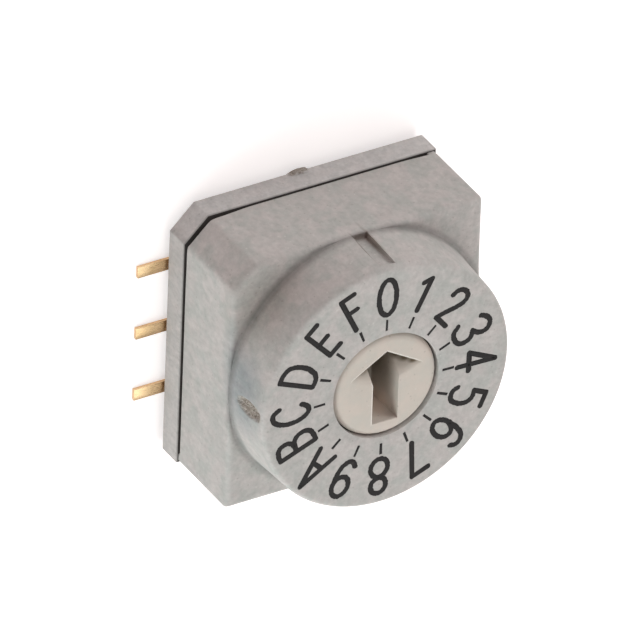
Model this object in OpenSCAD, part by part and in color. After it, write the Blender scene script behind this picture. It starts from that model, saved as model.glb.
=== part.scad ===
// Sixteen-position rotary code switch for a circuit board, with gull-wing leads.
// Origin: on the rotor axis, in the plane of the solder feet. +Z points out of the dial,
// and +Y points at position 0.

/* [Terminals] */
// Distance between neighbouring leads of one row
lead_pitch = 2.54; // [2.4:0.01:2.6]
// Distance between the two rows, where the leads leave the base
row_span = 7.62; // [7.5:0.01:7.8]
// Width over the tips of the solder feet
lead_span = 12.2; // [12:0.1:13.5]
// Width of a lead
lead_w = 0.46; // [0.4:0.02:0.6]
// Thickness of the lead strip
lead_t = 0.14; // [0.12:0.01:0.2]
// Radius inside each bend of a lead
bend_r = 0.12; // [0.08:0.01:0.15]
// Width of a contact finger
finger_w = 0.34; // [0.28:0.02:0.38]
// Thickness of a contact finger, coined thinner than its lead
finger_t = 0.1; // [0.08:0.01:0.12]

/* [Base] */
// Width of the square base plate
body_w = 10; // [9.8:0.1:11]
// Leg of the cut corner that marks terminal 1
corner_cut = 0.92; // [0.7:0.02:1.1]
// Thickness of the base plate
base_t = 1; // [0.9:0.1:1.4]
// Height of the base plate above the circuit board
standoff = 0.3; // [0.25:0.05:0.6]
// Thickness left under the contact well
floor_t = 0.6; // [0.5:0.05:0.7]
// Wall of that rim
spigot_wall = 0.6; // [0.5:0.05:0.65]

/* [Housing] */
// Step from the side of the base in to the side of the housing
side_step = 0.06; // [0.04:0.01:0.12]
// Open joint between base and housing
parting_gap = 0.13; // [0.1:0.01:0.2]
// Side of the corner lands that close the joint
land_w = 0.3; // [0.2:0.05:0.5]
// Height of the square block of the housing
block_h = 3.2; // [3:0.1:3.6]
// Thickness of the housing's side walls
side_wall = 0.84; // [0.76:0.02:0.9]
// Thickness of the shoulder round the collar
shoulder_t = 0.8; // [0.6:0.05:0.9]
// Height of the room for the detent, from the rim of the base to the shoulder
detent_room = 1.08; // [1:0.02:1.2]
// Height of the collar above the shoulder
collar_h = 2.17; // [2.07:0.05:2.57]
// How far the foot of the collar stands proud of the middles of the block's sides
collar_proud = 0.045; // [0:0.005:0.05]
// Draft of the collar's side, in degrees
collar_draft = 2.7; // [0.5:0.1:3]
// Thickness of the collar's wall
collar_wall = 1.08; // [0.98:0.05:1.13]
// Thickness of the dial face
face_t = 1; // [0.9:0.05:1.2]
// Lip of the dial face over the seal ring
lip_t = 0.42; // [0.35:0.01:0.5]
// Rounding of the rim of the dial
rim_r = 0.2; // [0.1:0.05:0.3]
// Rounding of the front edges of the square block
edge_r = 0.22; // [0.1:0.02:0.3]
// Hollow rounding between shoulder and collar
foot_r = 0.2; // [0.1:0.05:0.35]

/* [Marks] */
// Width of the index notch at position 0
notch_w = 0.56; // [0.4:0.02:0.7]
// Length of the index notch up the collar
notch_l = 1.78; // [1.4:0.05:1.9]
// Depth of the index notch
notch_d = 0.25; // [0.15:0.01:0.3]
// Width of the gate recess on the side of the collar
gate_w = 0.6; // [0.4:0.02:0.7]
// Length of the gate recess
gate_l = 1.45; // [1.2:0.05:1.5]
// Height of the recess's middle above the shoulder
gate_up = 1.28; // [1.1:0.02:1.3]
// Depth of the gate recess
gate_d = 0.12; // [0.08:0.01:0.2]
// Width of the gate stub on the edge of the base
stub_w = 0.9; // [0.6:0.05:1.2]
// How far that stub stands proud
stub_h = 0.13; // [0.08:0.01:0.15]

/* [Rotor] */
// Diameter of the rotor's head
head_d = 4.1; // [3.9:0.05:4.2]
// Rounding of the head's rim
head_round = 0.3; // [0.1:0.02:0.36]
// Depth of the head's face below the dial
head_sink = 0.02; // [0:0.01:0.1]
// Running clearance on radius between moving pieces
run_gap = 0.05; // [0.03:0.01:0.08]
// Thickness of the thrust flange
flange_t = 0.7; // [0.6:0.05:0.8]
// Step from the crests of the detent star in to the waist above it
waist_step = 0.7; // [0.5:0.05:1]
// Thickness of the disc that carries the code plate
carrier_t = 0.55; // [0.5:0.05:0.6]
// Width of the driver slot
slot_w = 1.02; // [0.9:0.02:1.1]
// Depth of the driver slot
slot_d = 1.6; // [1.4:0.1:1.8]
// End of the slot's tail, from the axis
slot_tail = 1.48; // [1.3:0.02:1.55]
// Draft of the slot's walls, in degrees
slot_draft = 5; // [2:1:6]
// Point of the arrow, from the axis
arrow_tip = 1.4; // [1.3:0.02:1.5]
// Width over the arrow's barbs
arrow_w = 2.86; // [2.6:0.02:3]
// Height of the barbs' ends, from the axis
arrow_barb = 0.54; // [0.45:0.01:0.6]
// Depth of the arrowhead at its middle
arrow_d = 1.2; // [1:0.1:1.3]
// Radius of the lower pivot pin
pivot_r = 0.42; // [0.36:0.02:0.44]

/* [Detent] */
// Room for the springs, from the crests of the detent star to the housing's wall
spring_room = 0.8; // [0.75:0.01:0.85]
// Depth of the detent valleys
valley_d = 0.2; // [0.15:0.01:0.24]
// Height of the detent star
star_h = 0.8; // [0.7:0.05:0.85]
// Thickness of the detent springs
spring_t = 0.12; // [0.1:0.01:0.14]
// Height of the detent springs
spring_h = 0.7; // [0.6:0.02:0.76]

/* [Code plate] */
// Room round the code plate, to the wall of the well
plate_room = 0.27; // [0.25:0.01:0.3]
// Rim of the code plate, from the middle of its outer track
plate_rim = 0.33; // [0.3:0.01:0.35]
// Thickness of the code plate
plate_t = 0.15; // [0.1:0.01:0.18]
// Radius of the common track
common_r = 1.05; // [1:0.01:1.1]
// Width of the metal left between two tracks
track_bridge = 0.13; // [0.1:0.01:0.16]

/* [Hidden] */
$fn = 96;

positions = 16;
step_angle = 360 / positions;

// Clearances
through = 0.5;
press_gap = 0.05;
touch_gap = 0.02;
thrust_gap = 2 * run_gap;

// Levels above the board
base_z = standoff;
plate_z = base_z + base_t;
well_z = base_z + floor_t;
block_z = plate_z + parting_gap;
shoulder_z = block_z + block_h;
face_z = shoulder_z + collar_h;
cavity_z = shoulder_z - shoulder_t;
spigot_z = cavity_z - detent_room;
ceiling_z = face_z - face_t;
lip_z = face_z - lip_t;
head_z = face_z - head_sink;
flange_z = ceiling_z - thrust_gap;
star_z = spigot_z + touch_gap + run_gap;
carrier_z = star_z - carrier_t;
code_z = carrier_z - plate_t;
contact_z = code_z - touch_gap;

// Half widths and radii
housing_half = body_w / 2 - side_step;
cavity_half = housing_half - side_wall;
spigot_half = cavity_half - press_gap;
well_half = spigot_half - spigot_wall;
star_r = cavity_half - spring_room;
waist_r = star_r - waist_step;
plate_r = well_half - plate_room;
track_step = (plate_r - plate_rim - common_r) / 4;
track_w = track_step - track_bridge;
collar_r = housing_half + collar_proud;
rim_top_r = collar_r - collar_h * tan(collar_draft);
hall_r = collar_r - collar_wall;
flange_r = hall_r - thrust_gap;
head_bore_r = head_d / 2 + run_gap;
seal_d = face_t - lip_t;
gland_r = head_d / 2 + seal_d + 2 * touch_gap;
pivot_bore_r = pivot_r + run_gap;

// Pivot boss in the middle of the base
boss_r = pivot_bore_r + 0.28;
boss_h = 0.4;
pivot_z = base_z + 0.3;
pin_z = pivot_z + run_gap;

// Lead strip, seen from the side
foot_z = lead_t / 2;
leg_x = row_span / 2;
leg_r = bend_r + lead_t / 2;
run_z = well_z - lead_t / 2;
jog_x = leg_x - 0.75;
finger_low = well_z - finger_t / 2;
finger_top = contact_z - finger_t / 2;
finger_bend = 0.28;
finger_root = 0.25;

// Detent parts
groove_r = 0.6;
nose_r = 0.3;
nose_x = star_r - valley_d + touch_gap + spring_t / 2 + nose_r;
spring_x = cavity_half - spring_t / 2 - touch_gap;
peg_r = 0.17;
peg_x = spigot_half - spigot_wall / 2;
peg_y = cavity_half - 0.85;
peg_h = 0.9 * spring_h;
hook_y = peg_y + peg_r + spring_t / 2 + 2 * touch_gap;
hook_l = 0.4;

// Arrow of the driver slot
slot_half = slot_w / 2;
slot_lean = slot_d * tan(slot_draft);
slot_end = arrow_barb + 0.3;
arrow_half = arrow_w / 2;
arrow_root = arrow_barb / 2;
arrow_floor = 0.57 * arrow_half;
arrow_back = arrow_root + 0.5;
arrow_lean = 0.04;

stub_tall = 0.3;

// Each lead: side of the body, place in its row, distance of its finger from the X axis,
// and distance of its contact point from the Y axis.
LEADS = [
    [-1, 1, common_r + track_step, 0],
    [-1, -1, -(common_r + 2 * track_step), 0],
    [1, 1, common_r + 3 * track_step, 0],
    [1, -1, -(common_r + 4 * track_step), 0],
    [-1, 0, 0, common_r],
    [1, 0, 0, common_r]
];

// Leg of the corner cut on an outline that lies inset from the base's outline
function cut_at(inset) = corner_cut - inset * (2 - sqrt(2));

// Points of an arc from one angle to another
function arc(cx, cy, r, from, to, steps = 6) =
    [for (i = [0:steps])
        let (a = from + (to - from) * i / steps)
        [cx + r * cos(a), cy + r * sin(a)]];

// Unit vector square to the line from a to b
function across(a, b) = let (d = b - a) [-d[1], d[0]] / norm(d);

// Point i of a path, moved to one side and mitred with its neighbours
function side_point(path, i, off) =
    let (last = len(path) - 1,
         n1 = across(path[max(i, 1) - 1], path[max(i, 1)]),
         n2 = across(path[min(i, last - 1)], path[min(i, last - 1) + 1]),
         m = (n1 + n2) / norm(n1 + n2))
    path[i] + m * off / (m * n1);

// Outline of a bent strip of thickness t about a path
function strip_outline(path, t) =
    let (last = len(path) - 1)
    concat([for (i = [0:last]) side_point(path, i, t / 2)],
           [for (i = [last:-1:0]) side_point(path, i, -t / 2)]);

// The same path on the other side of the body
function to_side(path, side) = [for (p = path) [side * p[0], p[1]]];

// Square outline with its cut corner at -X +Y
module outline(half, cut) {
    polygon([[-half, -half], [half, -half], [half, half], [-half + cut, half], [-half, half - cut]]);
}

// Sector of a flat ring between two angles
module ring_sector(r_mid, width, from, to, height) {
    rotate([0, 0, from])
        rotate_extrude(angle = to - from)
            translate([r_mid - width / 2, 0]) square([width, height]);
}

// What a rounded edge takes off, for an edge along X with its side towards +Y
module edge_cutter(r) {
    rotate([0, 90, 0])
        difference() {
            translate([-through, 0, -body_w]) cube([through + r, r + through, 2 * body_w]);
            translate([r, 0, -body_w - through]) cylinder(r = r, h = 2 * body_w + 2 * through);
        }
}

// What a rounded rim takes off, as a profile: at x, z, on a side that leans in by lean degrees
module rim_cutter(x, z, r, lean = 0) {
    mid_x = x + r * tan(lean) - r / cos(lean);
    difference() {
        translate([mid_x, z - r + r * sin(lean)]) square(2 * r);
        translate([mid_x, z - r]) circle(r = r);
    }
}

// Square block of the housing with its rounded front edges
module housing_block() {
    cut = cut_at(side_step);
    difference() {
        translate([0, 0, block_z]) linear_extrude(block_h) outline(housing_half, cut);
        for (turn = [0, 90, 180, 270])
            rotate([0, 0, turn])
                translate([0, housing_half - edge_r, shoulder_z]) edge_cutter(edge_r);
        rotate([0, 0, 45])
            translate([0, (2 * housing_half - cut) / sqrt(2) - edge_r, shoulder_z])
                edge_cutter(edge_r);
    }
}

// Round collar with its draft and rounded rim
module collar() {
    rotate_extrude()
        difference() {
            polygon([[0, shoulder_z], [collar_r, shoulder_z], [rim_top_r, face_z], [0, face_z]]);
            rim_cutter(rim_top_r, face_z, rim_r, collar_draft);
        }
}

// Hollow rounding where the collar meets the shoulder, cut off at the sides of the block
module collar_foot() {
    intersection() {
        rotate_extrude()
            difference() {
                translate([0, shoulder_z - edge_r]) square([collar_r + foot_r, foot_r + edge_r]);
                translate([collar_r + foot_r, shoulder_z + foot_r]) circle(r = foot_r);
            }
        linear_extrude(face_z) outline(housing_half, cut_at(side_step));
    }
}

// Small lands that close the joint at the three square corners
module corner_lands() {
    for (at = [[1, 1], [1, -1], [-1, -1]])
        translate([at[0] * housing_half, at[1] * housing_half, plate_z])
            linear_extrude(parting_gap)
                polygon([[0, 0], [-at[0] * land_w, 0], [-at[0] * land_w, -at[1] * land_w],
                         [0, -at[1] * land_w]]);
}

// Notch up the collar at position 0
module index_notch() {
    translate([-notch_w / 2, collar_r - notch_d, shoulder_z]) cube([notch_w, through, notch_l]);
}

// Recess on the collar's side where the moulding gate broke away
module gate_recess() {
    floor_x = collar_r - gate_up * tan(collar_draft) - gate_d;
    run = gate_l - gate_w;
    translate([-floor_x - through, 0, shoulder_z + gate_up])
        rotate([0, 90, 0])
            union() {
                translate([-run / 2, -gate_w / 2, 0]) cube([run, gate_w, through]);
                for (end = [-1, 1])
                    translate([end * run / 2, 0, 0]) cylinder(d = gate_w, h = through);
            }
}

// Inside of the housing: square cavity, round hall, gland of the seal ring and rotor bore
module housing_cavity() {
    translate([0, 0, plate_z - through])
        linear_extrude(cavity_z - plate_z + through)
            outline(cavity_half, cut_at(side_step + side_wall));
    translate([0, 0, cavity_z - through]) cylinder(r = hall_r, h = ceiling_z - cavity_z + through);
    translate([0, 0, ceiling_z - through]) cylinder(r = gland_r, h = lip_z - ceiling_z + through);
    translate([0, 0, lip_z - through]) cylinder(r = head_bore_r, h = lip_t + 2 * through);
}

module housing() {
    color("darkgray")
        difference() {
            union() {
                housing_block();
                collar();
                collar_foot();
                corner_lands();
            }
            housing_cavity();
            index_notch();
            gate_recess();
        }
}

// Low stub on the base's edge where its moulding gate broke away
module gate_stub() {
    translate([0, body_w / 2, base_z])
        linear_extrude(stub_tall)
            polygon([[-stub_w / 2, -stub_h], [-stub_w / 2, 0], [-stub_w / 4, stub_h * 0.7],
                     [0, stub_h], [stub_w / 3, stub_h * 0.8], [stub_w / 2, 0],
                     [stub_w / 2, -stub_h]]);
}

// Well round the pivot boss, open at the top
module well() {
    difference() {
        translate([-well_half, -well_half, well_z])
            cube([2 * well_half, 2 * well_half, spigot_z - well_z + through]);
        translate([0, 0, well_z - through]) cylinder(r = boss_r, h = boss_h + through);
    }
}

// Pegs that the ends of the detent springs hook round
module spring_pegs() {
    for (sx = [-1, 1], sy = [-1, 1])
        translate([sx * peg_x, sy * peg_y, spigot_z - through])
            cylinder(r = peg_r, h = peg_h + through);
}

module base() {
    color("darkgray")
        difference() {
            union() {
                translate([0, 0, base_z]) linear_extrude(base_t) outline(body_w / 2, corner_cut);
                translate([0, 0, base_z])
                    linear_extrude(spigot_z - base_z)
                        outline(spigot_half, cut_at(side_step + side_wall + press_gap));
                gate_stub();
                spring_pegs();
            }
            well();
            translate([0, 0, pivot_z]) cylinder(r = pivot_bore_r, h = spigot_z - pivot_z);
            for (lead = LEADS) terminal_strip(lead);
        }
}

// Outer leg of a lead: foot on the board, rise into the base, and turn to the well's floor
function leg_path() =
    concat([[lead_span / 2, foot_z]],
           arc(leg_x + leg_r, foot_z + leg_r, leg_r, 270, 180),
           arc(leg_x - leg_r, run_z - leg_r, leg_r, 0, 90),
           [[jog_x + lead_w / 2, run_z]]);

// Contact finger, from the well's floor up to its rounded end
function finger_path(reach) =
    concat([[jog_x + lead_w / 2, finger_low], [jog_x - finger_root, finger_low]],
           arc(reach, finger_top - finger_bend, finger_bend, 52, 128));

// Strip bent in the XZ plane, of width w about the plane y
module bent_strip(path, t, w, y) {
    translate([0, y + w / 2, 0])
        rotate([90, 0, 0])
            linear_extrude(w) polygon(strip_outline(path, t));
}

// Flat cross piece in the well's floor that joins a leg to its finger
module jog(side, y_leg, y_finger) {
    y_low = min(y_leg - lead_w / 2, y_finger - finger_w / 2);
    y_high = max(y_leg + lead_w / 2, y_finger + finger_w / 2);
    translate([side * (jog_x + lead_w / 2) - lead_w / 2, y_low, well_z - lead_t])
        cube([lead_w, y_high - y_low, lead_t]);
}

module terminal_strip(lead) {
    y_leg = lead[1] * lead_pitch;
    union() {
        bent_strip(to_side(leg_path(), lead[0]), lead_t, lead_w, y_leg);
        jog(lead[0], y_leg, lead[2]);
        bent_strip(to_side(finger_path(lead[3]), lead[0]), finger_t, finger_w, lead[2]);
    }
}

module terminal(index) {
    color("goldenrod") terminal_strip(LEADS[index]);
}

// Code windows, the tracks for 1, 2, 4 and 8 from the inside out. Each window is one unbroken
// run of positions in which that weight is off, and shrink makes it smaller all round.
module code_windows(shrink, height) {
    for (bit = [0:3])
        let (weight = pow(2, bit),
             r = common_r + (bit + 1) * track_step,
             at = bit % 2 == 0 ? 90 : -90,
             slack = shrink / r * 180 / PI)
            for (first = [0:2 * weight:positions - 1])
                ring_sector(r, track_w - 2 * shrink,
                            at + (first - 0.5) * step_angle + slack,
                            at + (first + weight - 0.5) * step_angle - slack, height);
}

module code_plate() {
    color("gold")
        translate([0, 0, code_z])
            difference() {
                cylinder(r = plate_r, h = plate_t);
                translate([0, 0, -through]) cylinder(r = pivot_bore_r, h = plate_t + 2 * through);
                translate([0, 0, -through]) code_windows(0, plate_t + 2 * through);
            }
}

// Star with sixteen rounded valleys that the detent springs click into
module detent_star() {
    difference() {
        translate([0, 0, star_z]) cylinder(r = star_r, h = star_h);
        for (i = [0:positions - 1])
            rotate([0, 0, i * step_angle])
                translate([star_r - valley_d + groove_r, 0, star_z - through])
                    cylinder(r = groove_r, h = star_h + 2 * through);
    }
}

// Head, thrust flange, waist, code carrier and pivot pin, all round
module rotor_stem() {
    rotate_extrude()
        difference() {
            polygon([[0, pin_z], [pivot_r, pin_z], [pivot_r, carrier_z], [plate_r, carrier_z],
                     [plate_r, star_z], [waist_r, star_z], [waist_r, flange_z - flange_t],
                     [flange_r, flange_z - flange_t], [flange_r, flange_z],
                     [head_d / 2, flange_z], [head_d / 2, head_z], [0, head_z]]);
            rim_cutter(head_d / 2, head_z, head_round);
        }
}

// Straight tail of the arrow, narrower at its floor
module arrow_tail() {
    hull() {
        linear_extrude(through)
            polygon([[-slot_half, -slot_tail], [slot_half, -slot_tail],
                     [slot_half, slot_end], [-slot_half, slot_end]]);
        translate([0, 0, -slot_d])
            linear_extrude(touch_gap)
                polygon([[-slot_half + slot_lean, -slot_tail + slot_lean],
                         [slot_half - slot_lean, -slot_tail + slot_lean],
                         [slot_half - slot_lean, slot_end - slot_lean],
                         [-slot_half + slot_lean, slot_end - slot_lean]]);
    }
}

// Head of the arrow, a wedge that runs out at the ends of its barbs
module arrow_head() {
    roof = arrow_tip - (arrow_tip - arrow_barb) * arrow_floor / arrow_half - arrow_lean;
    hull() {
        linear_extrude(through)
            polygon([[0, arrow_tip], [-arrow_half, arrow_barb], [-slot_half, arrow_root],
                     [slot_half, arrow_root], [arrow_half, arrow_barb]]);
        translate([0, 0, -arrow_d])
            linear_extrude(touch_gap)
                polygon([[0, arrow_tip - arrow_lean], [-arrow_floor, roof],
                         [-slot_half, arrow_back], [slot_half, arrow_back], [arrow_floor, roof]]);
    }
}

module rotor() {
    color("antiquewhite")
        difference() {
            union() {
                rotor_stem();
                detent_star();
                translate([0, 0, code_z]) code_windows(touch_gap, plate_t + touch_gap);
            }
            translate([0, 0, head_z]) arrow_tail();
            translate([0, 0, head_z]) arrow_head();
        }
}

module seal_ring() {
    color("dimgray")
        translate([0, 0, lip_z - touch_gap - seal_d / 2])
            rotate_extrude()
                translate([head_d / 2 + touch_gap + seal_d / 2, 0]) circle(d = seal_d);
}

// Half of a detent spring, from its rounded nose along the wall to its hook
function spring_half() =
    concat(arc(nose_x, 0, nose_r, 180, 125, 5),
           [[nose_x + nose_r / 2, 2 * nose_r], [spring_x, peg_y - 2 * nose_r], [spring_x, hook_y],
            [spring_x - hook_l, hook_y]]);

function spring_path() =
    let (half = spring_half(), last = len(half) - 1)
    concat([for (i = [last:-1:1]) [half[i][0], -half[i][1]]], half);

module detent_spring(side) {
    color("silver")
        translate([0, 0, spigot_z + touch_gap])
            linear_extrude(spring_h)
                polygon(strip_outline(to_side(spring_path(), side), spring_t));
}

housing();
base();
rotor();
seal_ring();
code_plate();
detent_spring(-1);  // detent_spring_left
detent_spring(1);  // detent_spring_right
terminal(0);  // terminal_1
terminal(1);  // terminal_2
terminal(2);  // terminal_4
terminal(3);  // terminal_8
terminal(4);  // terminal_common_left
terminal(5);  // terminal_common_right
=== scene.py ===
import math

import bmesh
import bpy
from mathutils import Matrix, Vector, noise


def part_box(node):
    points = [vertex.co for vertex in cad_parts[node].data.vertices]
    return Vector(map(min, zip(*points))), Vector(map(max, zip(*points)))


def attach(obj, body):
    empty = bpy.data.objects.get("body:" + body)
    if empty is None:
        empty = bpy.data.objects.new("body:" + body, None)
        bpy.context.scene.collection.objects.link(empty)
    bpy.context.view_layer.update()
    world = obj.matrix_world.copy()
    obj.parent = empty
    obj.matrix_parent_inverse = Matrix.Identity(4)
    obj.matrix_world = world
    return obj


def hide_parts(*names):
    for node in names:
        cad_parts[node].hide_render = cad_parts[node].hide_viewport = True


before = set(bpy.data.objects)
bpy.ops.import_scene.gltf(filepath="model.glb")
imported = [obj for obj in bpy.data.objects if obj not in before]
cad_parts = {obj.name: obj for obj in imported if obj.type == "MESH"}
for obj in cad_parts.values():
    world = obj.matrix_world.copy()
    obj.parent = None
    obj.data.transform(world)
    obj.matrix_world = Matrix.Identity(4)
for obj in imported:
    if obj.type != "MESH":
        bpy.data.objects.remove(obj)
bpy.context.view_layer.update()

# Sizes are in millimetres, and pieces are scaled to metres as they are finished
MM = 0.001
FACE_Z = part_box("housing")[1].z / MM
HEAD_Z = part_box("rotor")[1].z / MM
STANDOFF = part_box("base")[0].z / MM
BASE_TOP = STANDOFF + 1.0
BLOCK_Z = BASE_TOP + 0.13
SHOULDER_Z = BLOCK_Z + 3.2
BASE_HALF = 5.0
BASE_CUT = 0.92

# Housing
BLOCK_HALF = 4.94
CORNER_CUT = 0.885
CORNER_SHARPNESS = 110
SIDE_WALL = 0.84
COLLAR_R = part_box("housing")[1].x / MM
COLLAR_DRAFT = math.tan(math.radians(2.7))
RIM_R = 0.2
FOOT_R = 0.15
EDGE_R = 0.22
LIP_R = 2.085
GLAND_R = 2.67
HALL_R = COLLAR_R - 1.08
CAVITY_Z = SHOULDER_Z - 0.8
CEILING_Z = FACE_Z - 1.0
GLAND_Z = FACE_Z - 0.42
PROUD_FADE = 0.3
CUT_LIFT = 0.02
LEFT_DROP = 0.045
INDEX_DROP = 0.08

# Index notch at position 0, and the gate mark on the left of the collar
NOTCH_HALF = 0.28
NOTCH_FLOOR = COLLAR_R - 0.25
NOTCH_TOP = 6.58
GATE_MID = (0.02, 5.9)
GATE_HALF = (0.32, 0.75)
GATE_DEPTH = 0.1

# Dial: the print sits a little off the axis and is turned by a trace
STROKE = 0.205
TICK = (2.33, 2.78)
TICK_W = 0.1
INK_RISE = 0.01
INK_RAG = 0.02
POSITIONS = "0123456789ABCDEF"
PRINT_SHIFT = Vector((-0.09, -0.03))
PRINT_TURN = math.radians(0.6)

# Centre lines of each glyph's strokes, x across it and y from the axis: a line has corners, a
# curve is smooth, and a ring gives its middle and its half widths.
GLYPHS = {
    "0": [("ring", [(-0.02, 3.7), (0.34, 0.72)])],
    "1": [("line", [(0.01, 3.05), (0.08, 4.33), (-0.18, 4.13)])],
    "2": [("curve", [(-0.3, 3.98), (-0.24, 4.21), (0, 4.36), (0.24, 4.27), (0.31, 4.06),
                     (0.21, 3.76), (-0.03, 3.37), (-0.24, 3.01)]),
          ("line", [(-0.24, 3.01), (0.37, 2.95)])],
    "3": [("curve", [(-0.26, 4.19), (-0.12, 4.33), (0.12, 4.41), (0.36, 4.29), (0.42, 4.06),
                     (0.33, 3.85), (0.11, 3.69)]),
          ("curve", [(0.11, 3.69), (0.33, 3.52), (0.38, 3.31), (0.27, 3.05), (0.03, 2.97),
                     (-0.24, 3.03), (-0.4, 3.27)])],
    "4": [("line", [(0.08, 2.91), (0.11, 4.42), (-0.4, 3.38), (0.34, 3.37)])],
    "5": [("line", [(0.31, 4.37), (-0.24, 4.37), (-0.26, 3.83)]),
          ("curve", [(-0.26, 3.83), (-0.06, 3.87), (0.15, 3.79), (0.28, 3.58), (0.3, 3.31),
                     (0.21, 3.04), (0.03, 2.95), (-0.18, 2.99), (-0.3, 3.11)])],
    "6": [("curve", [(0.33, 4.27), (0.21, 4.41), (0, 4.45), (-0.21, 4.3), (-0.3, 4.0),
                     (-0.31, 3.5)]),
          ("ring", [(0.02, 3.43), (0.31, 0.44)])],
    "7": [("line", [(-0.32, 4.3), (0.36, 4.31), (-0.1, 2.96)])],
    "8": [("ring", [(0.045, 4.07), (0.3, 0.315)]), ("ring", [(0.035, 3.34), (0.335, 0.37)])],
    "9": [("ring", [(0.07, 3.98), (0.32, 0.39)]),
          ("curve", [(0.39, 3.86), (0.37, 3.45), (0.24, 3.12), (0.02, 2.97), (-0.15, 3.06),
                     (-0.21, 3.14)])],
    "A": [("line", [(-0.35, 2.96), (-0.01, 4.5), (0.43, 3.0)]),
          ("line", [(-0.16, 3.55), (0.21, 3.55)])],
    "B": [("line", [(-0.22, 2.97), (-0.22, 4.42)]),
          ("curve", [(-0.22, 4.42), (0.05, 4.42), (0.27, 4.32), (0.34, 4.1), (0.25, 3.85),
                     (0, 3.76), (-0.22, 3.75)]),
          ("curve", [(0, 3.75), (0.28, 3.65), (0.4, 3.35), (0.28, 3.05), (0, 2.96),
                     (-0.22, 2.96)])],
    "C": [("curve", [(0.28, 4.17), (0.15, 4.36), (-0.06, 4.4), (-0.27, 4.23), (-0.38, 3.93),
                     (-0.4, 3.63), (-0.32, 3.27), (-0.15, 3.03), (0.03, 2.98), (0.18, 3.09),
                     (0.28, 3.27)])],
    "D": [("line", [(-0.31, 3.0), (-0.31, 4.39)]),
          ("curve", [(-0.31, 4.4), (0, 4.39), (0.24, 4.27), (0.37, 3.99), (0.39, 3.63),
                     (0.3, 3.3), (0.15, 3.06), (-0.06, 2.97), (-0.31, 2.98)])],
    "E": [("line", [(0.4, 4.39), (-0.14, 4.39), (-0.17, 2.97), (0.36, 2.97)]),
          ("line", [(-0.16, 3.67), (0.32, 3.67)])],
    "F": [("line", [(0.34, 4.44), (-0.2, 4.44), (-0.1, 2.98)]),
          ("line", [(-0.15, 3.79), (0.24, 3.79)])],
}


def smooth_step(low, high, value):
    """0 below low, 1 above high and an even rise between; low may be the greater."""
    t = min(max((value - low) / (high - low), 0.0), 1.0)
    return t * t * (3 - 2 * t)


def arc(x, z, radius, start, end, steps):
    """Points of an arc in the plane of a profile, angles in degrees."""
    turns = (math.radians(start + (end - start) * i / steps) for i in range(steps + 1))
    return [(x + radius * math.cos(t), z + radius * math.sin(t)) for t in turns]


def finish_piece(bm, name, material, body, replaced=None, sharp=35):
    """Makes the mesh a piece of the object, with creases where faces meet at more than sharp."""
    for face in bm.faces:
        face.smooth = True
    for edge in bm.edges:
        edge.smooth = len(edge.link_faces) == 2 and edge.calc_face_angle() < math.radians(sharp)
    mesh = bpy.data.meshes.new(name)
    bm.to_mesh(mesh)
    bm.free()
    mesh.transform(Matrix.Scale(MM, 4))
    mesh.materials.append(material)
    piece = bpy.data.objects.new(name, mesh)
    bpy.context.scene.collection.objects.link(piece)
    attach(piece, body)
    if replaced:
        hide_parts(replaced)
    return piece


def copy_of(node):
    """The solid of a node as one merged mesh in millimetres, flat faces whole."""
    bm = bmesh.new()
    bm.from_mesh(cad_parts[node].data)
    bmesh.ops.scale(bm, vec=(1 / MM,) * 3, verts=bm.verts)
    bmesh.ops.remove_doubles(bm, verts=bm.verts, dist=0.0005)
    bmesh.ops.dissolve_limit(bm, angle_limit=math.radians(0.4), verts=bm.verts, edges=bm.edges)
    return bm


def round_edges(bm, chosen, width, segments=3):
    """Rounds the edges for which chosen(edge) holds."""
    edges = [e for e in bm.edges if len(e.link_faces) == 2 and chosen(e)]
    bmesh.ops.bevel(bm, geom=edges, offset=width, segments=segments, profile=0.5,
                    affect="EDGES", clamp_overlap=True, material=-1)


# Node groups

def new_group(name, inputs, outputs):
    """A shader node group with its sockets; an input is a name, a kind and a default."""
    tree = bpy.data.node_groups.new(name, "ShaderNodeTree")
    for label, kind, default in inputs:
        socket = tree.interface.new_socket(label, in_out="INPUT", socket_type="NodeSocket" + kind)
        if default is not None:
            socket.default_value = default
    for label, kind in outputs:
        tree.interface.new_socket(label, in_out="OUTPUT", socket_type="NodeSocket" + kind)
    return tree, tree.nodes.new("NodeGroupInput"), tree.nodes.new("NodeGroupOutput")


def add_node(tree, kind, settings=None, **sockets):
    """A node with its settings; a socket takes a value or another node's output."""
    node = tree.nodes.new("ShaderNode" + kind)
    for key, value in (settings or {}).items():
        setattr(node, key, value)
    for key, value in sockets.items():
        name = key.replace("_", " ")
        socket = node.inputs[int(name[1:])] if name[1:].isdigit() else node.inputs[name]
        if isinstance(value, bpy.types.NodeSocket):
            tree.links.new(value, socket)
        else:
            socket.default_value = value
    return node


def millimetres(tree):
    """Object coordinates in millimetres."""
    place = add_node(tree, "TexCoord").outputs["Object"]
    scaled = add_node(tree, "VectorMath", {"operation": "SCALE"}, Vector=place, Scale=1 / MM)
    return scaled.outputs["Vector"]


def spread(tree, value, low, high, to_low=0.0, to_high=1.0):
    """Maps value from low and high to to_low and to_high."""
    node = add_node(tree, "MapRange", None, Value=value, From_Min=low, From_Max=high,
                    To_Min=to_low, To_Max=to_high)
    return node.outputs["Result"]


def mixed(tree, mode, factor, a, b):
    """Mix of two colours."""
    node = tree.nodes.new("ShaderNodeMix")
    node.data_type = "RGBA"
    node.blend_type = mode
    for socket, value in ((node.inputs[0], factor), (node.inputs[6], a), (node.inputs[7], b)):
        if isinstance(value, bpy.types.NodeSocket):
            tree.links.new(value, socket)
        else:
            socket.default_value = value
    return node.outputs[2]


def noise_value(tree, place, scale, detail=3.0, roughness=0.55):
    node = add_node(tree, "TexNoise", None, Vector=place, Scale=scale, Detail=detail,
                    Roughness=roughness)
    return node.outputs["Fac"]


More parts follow.
